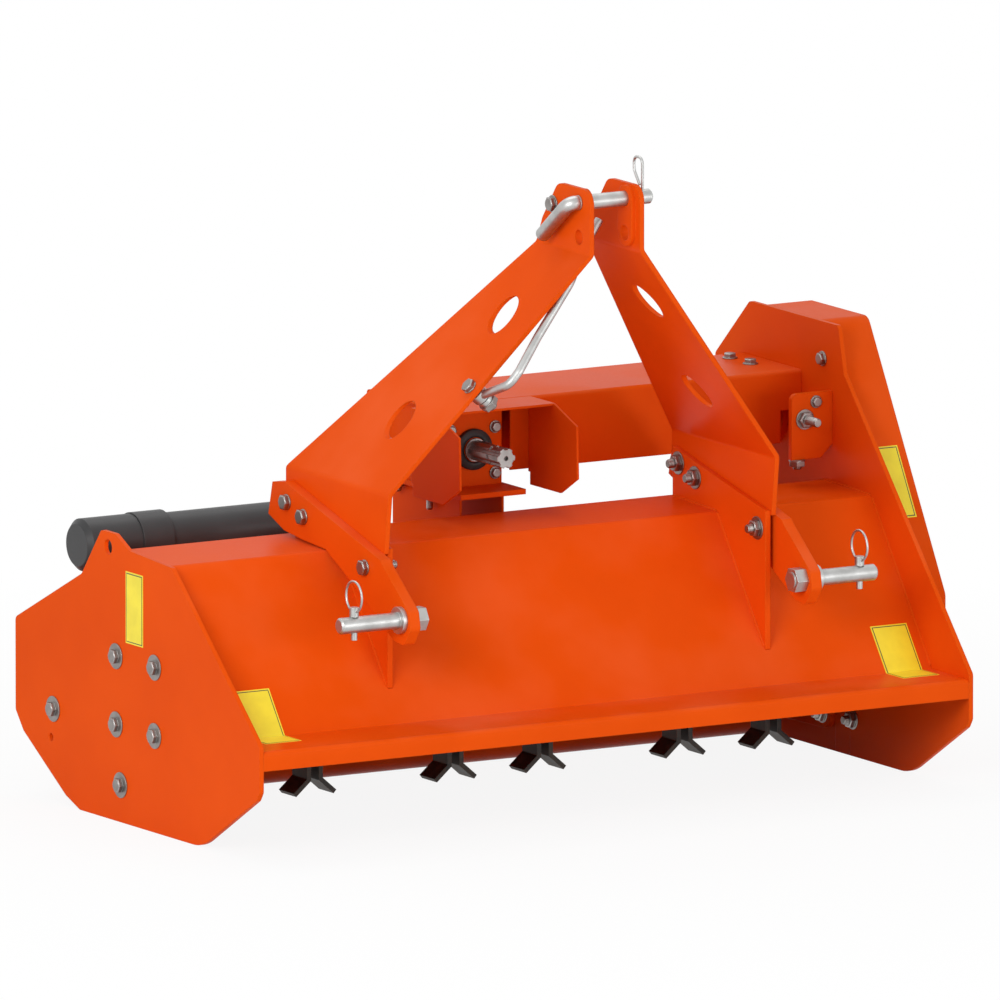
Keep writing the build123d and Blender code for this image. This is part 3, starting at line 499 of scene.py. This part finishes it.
def bent_film(bm, line, out, width, across, margin, lift):
    """A thin sheet laid along a line of places, in millimetres.

    out is the way each place faces and across the way of the width; margin is how far the sheet
    stays inside its outline and lift how far its face stands off.
    """
    line = [Vector(place) for place in line]
    ends = {0: line[1] - line[0], len(line) - 1: line[-2] - line[-1]}
    half = Vector(across) * (width / 2 - margin)
    rows = []
    for i, (place, way) in enumerate(zip(line, out)):
        if i in ends:
            place = place + ends[i].normalized() * margin
        way = Vector(way).normalized()
        rows.append([bm.verts.new(spot(*(place + half * side + way * height)))
                     for side, height in ((-1, -0.1), (-1, lift), (1, lift), (1, -0.1))])
    skin(bm, rows)


OFF_SLOPE, OFF_FOLD, OFF_GUARD = (0, -0.803, 0.597), (0, -0.4493, 0.8934), (0, -0.865, 0.502)
patches = [([(LEFT_FACE, 420, 311), (LEFT_FACE, 420, 434)], [(-1, 0, 0)] * 2, 58, (0, 1, 0)),
           ([(744, 309, 417.9), (744, 375, 532.1)], [OFF_GUARD] * 2, 60, (1, 0, 0))]
for middle, width in [(-615, 70), (637, 72)]:
    patches.append(([(middle, 66, 191), (middle, 122, 191), (middle, 176, 263.6)],
                    [(0, 0, 1), OFF_FOLD, OFF_SLOPE], width, (1, 0, 0)))
sheets, lines = bmesh.new(), bmesh.new()
for line, out, width, across in patches:
    bent_film(sheets, line, out, width, across, 0.0, 0.5)
    bent_film(lines, line, out, width, across, 2.5, 0.7)
    bent_film(sheets, line, out, width, across, 4.1, 0.9)
dark_film = film("dark_film", (0.035, 0.033, 0.03, 1))
yellow_film = film("yellow_film", (0.93, 0.77, 0.03, 1))
make_piece("patch_borders", lines, dark_film, "frame")
make_piece("patch_fields", sheets, yellow_film, "frame")

# Studio: a broad pale floor and an even white surround, one large soft lamp on the left, a weaker
# one low in front and one above. Floor and surround look white and light the machine less.


def in_view(flow):
    """1 for what the camera sees, straight, in metal or through glass; 0 for light on the machine."""
    seen = flow.node("ShaderNodeLightPath", {}, {}, out="Is Camera Ray")
    for ray in ("Is Glossy Ray", "Is Transmission Ray"):
        seen = seen + flow.node("ShaderNodeLightPath", {}, {}, out=ray)
    return seen


FLOOR_HALF = 60
corners = [(x * FLOOR_HALF, y * FLOOR_HALF, 0) for x, y in ((-1, -1), (1, -1), (1, 1), (-1, 1))]
floor_mesh = bpy.data.meshes.new("studio_floor")
floor_mesh.from_pydata(corners, [], [(0, 1, 2, 3)])
floor = bpy.data.objects.new("studio_floor", floor_mesh)
bpy.context.collection.objects.link(floor)
floor_paint, floor_shader, flow = start_material("studio_floor")
floor_shader.inputs["Base Color"].default_value = (0.86, 0.86, 0.86, 1)
floor_shader.inputs["Roughness"].default_value = 0.9
plain = Flow(flow.tree, floor_shader.outputs[0])
glow = flow.node("ShaderNodeEmission", {}, {"Color": (1, 1, 1, 1), "Strength": 1.0})
place = flow.node("ShaderNodeNewGeometry", {}, {}, out="Position")
away = flow.node("ShaderNodeVectorMath", {"operation": "LENGTH"}, {0: place}, out="Value")
glow_share = in_view(flow) * (0.9 + away.between(0.8, 2.2) * 0.1)
pale = flow.node("ShaderNodeMixShader", {}, {0: glow_share, 1: plain, 2: glow})
flow.tree.links.new(pale.socket, flow.tree.nodes["Material Output"].inputs["Surface"])
floor_mesh.materials.append(floor_paint)

surround = bpy.data.worlds.new("studio_surround")
bpy.context.scene.world = surround
surround.use_nodes = True
flow = Flow(surround.node_tree)
lit = flow.node("ShaderNodeBackground", {}, {"Color": (1, 1, 1, 1), "Strength": 0.56})
white = flow.node("ShaderNodeBackground", {}, {"Color": (1, 1, 1, 1), "Strength": 1.0})
sky = flow.node("ShaderNodeMixShader", {}, {0: in_view(flow), 1: lit, 2: white})
flow.tree.links.new(sky.socket, flow.tree.nodes["World Output"].inputs["Surface"])


def soft_lamp(name, place, aim, size, power):
    """A rectangular lamp; places and size in metres, power in watts."""
    lamp = bpy.data.lights.new(name, "AREA")
    lamp.shape = "RECTANGLE"
    lamp.size, lamp.size_y = size
    lamp.energy = power
    holder = bpy.data.objects.new(name, lamp)
    bpy.context.collection.objects.link(holder)
    holder.location = place
    holder.rotation_euler = (Vector(aim) - Vector(place)).to_track_quat("-Z", "Y").to_euler()


soft_lamp("key_lamp", (-4.3, -3.1, 2.5), (0, 0, 0.4), (2.6, 2.0), 138)
soft_lamp("fill_lamp", (1.6, -4.6, 0.9), (0, 0, 0.3), (2.4, 1.6), 42)
soft_lamp("top_lamp", (0.2, 1.6, 4.6), (0, 0, 0.4), (3.5, 2.5), 50)

# Camera: a very long lens from far away, so that the machine's edges stay parallel, low over its
# left front corner.
TURN, TIP, DISTANCE = math.radians(-30.5), math.radians(9.8), 70.62
lens = bpy.data.cameras.new("camera")
camera = bpy.data.objects.new("camera", lens)
bpy.context.collection.objects.link(camera)
lens.lens, lens.sensor_width, lens.clip_end = 1500, 36, 300
towards = Vector((math.sin(TURN) * math.cos(TIP), -math.cos(TURN) * math.cos(TIP), math.sin(TIP)))
camera.location = spot(4, 400, 501) + towards * DISTANCE
camera.rotation_euler = (-towards).to_track_quat("-Z", "Y").to_euler()
bpy.context.scene.camera = camera
bpy.context.scene.view_settings.view_transform = "Standard"
